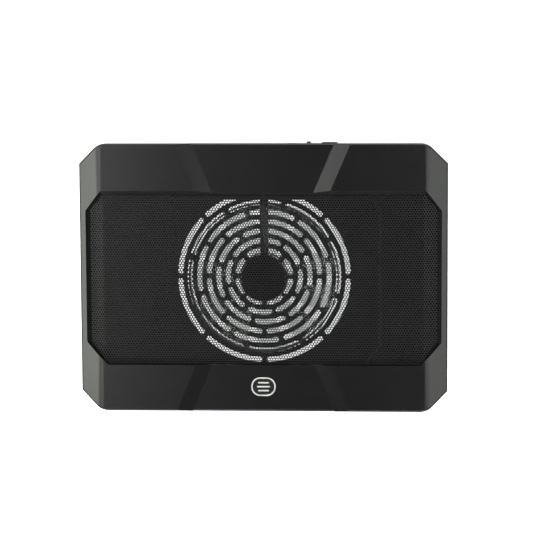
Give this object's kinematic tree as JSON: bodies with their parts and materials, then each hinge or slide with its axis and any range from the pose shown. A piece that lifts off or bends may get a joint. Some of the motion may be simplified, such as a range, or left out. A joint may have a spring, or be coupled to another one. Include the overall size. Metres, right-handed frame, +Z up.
{
  "type": "laptop cooling pad",
  "caption": "Sloped laptop cooling pad with a perforated steel top, one large fan over a slotted grille, rear ports, front lights and flip-out rear legs.",
  "frame": {"origin": "centre of the footprint, on the surface that the pad stands on", "axes": "+X to the user's right, +Y towards the pad's rear edge, +Z up; the deck slopes down towards -Y"},
  "size_m": [0.37, 0.2729, 0.0496],
  "materials": {
    "case_plastic": "fine spark-eroded texture, matte black",
    "mesh_steel": "black powder coat on perforated steel",
    "fan_smoke": "smoky translucent moulding",
    "fan_frame": "black moulding",
    "steel": "plain zinc-plated steel",
    "black_steel": "blackened steel",
    "magnet": "dark bonded ferrite",
    "bronze": "sintered bronze",
    "copper": "enamelled copper wire",
    "laminations": "stacked sheet",
    "circuit_green": "solder mask over glass laminate",
    "circuit_parts": "moulded components",
    "socket_shell": "nickel-plated folded sheet",
    "socket_insert": "black insulating block",
    "knob_plastic": "smooth black moulding",
    "light_guide": "clear acrylic",
    "light_diode": "blue light-emitting diode",
    "wire_cover": "flexible insulation",
    "badge_metal": "polished rim",
    "badge_field": "satin dark field",
    "rubber_black": "soft matte rubber"
  },
  "bodies": {
    "base": {"top_cover": "case_plastic", "bottom_cover": "case_plastic", "mesh_panel": "mesh_steel", "fan_shroud": "fan_frame", "motor_base": "fan_frame", "fan_bearing": "bronze", "fan_circuit": "circuit_green", "stator_core": "laminations", "stator_coils": "copper", "fan_screws": "black_steel", "control_board": "circuit_green", "board_parts": "circuit_parts", "power_inlet": "socket_shell", "power_inlet_insert": "socket_insert", "usb_socket": "socket_shell", "usb_socket_insert": "socket_insert", "switch_body": "circuit_parts", "board_screws": "steel", "light_guide": "light_guide", "light_board": "circuit_green", "light_diodes": "light_diode", "fan_wires": "wire_cover", "light_wires": "wire_cover", "wire_clip": "fan_frame", "badge_rim": "badge_metal", "badge_bars": "badge_metal", "badge_plate": "badge_field", "case_screws": "black_steel", "riser_screws": "steel", "riser_left": "case_plastic", "riser_right": "case_plastic", "hinge_pin_left": "steel", "hinge_pin_right": "steel", "rear_feet_left": "rubber_black", "rear_feet_right": "rubber_black", "front_feet": "rubber_black"},
    "fan": {"fan_rotor": "fan_smoke", "rotor_yoke": "black_steel", "rotor_magnet": "magnet", "rotor_shaft": "steel"},
    "speed_switch": {"switch_knob": "knob_plastic"},
    "left_leg": {"stand_leg_left": "case_plastic", "stand_tip_left": "rubber_black"},
    "right_leg": {"stand_leg_right": "case_plastic", "stand_tip_right": "rubber_black"}
  },
  "joints": [
    {"name": "fan_spin", "type": "hinge", "parent": "base", "child": "fan", "pos_m": [0, -0.00027, 0.0246], "axis": [0, -0.0785, 0.9969], "continuous": true},
    {"name": "switch_slide", "type": "slide", "parent": "base", "child": "speed_switch", "axis": [1, 0, 0], "range_m": [0, 0.006]},
    {"name": "left_leg_fold", "type": "hinge", "parent": "base", "child": "left_leg", "pos_m": [-0.13, 0.119, 0.0054], "axis": [1, 0, 0], "range_deg": [0, 95]},
    {"name": "right_leg_fold", "type": "hinge", "parent": "base", "child": "right_leg", "pos_m": [0.13, 0.119, 0.0054], "axis": [1, 0, 0], "range_deg": [0, 95]}
  ]
}
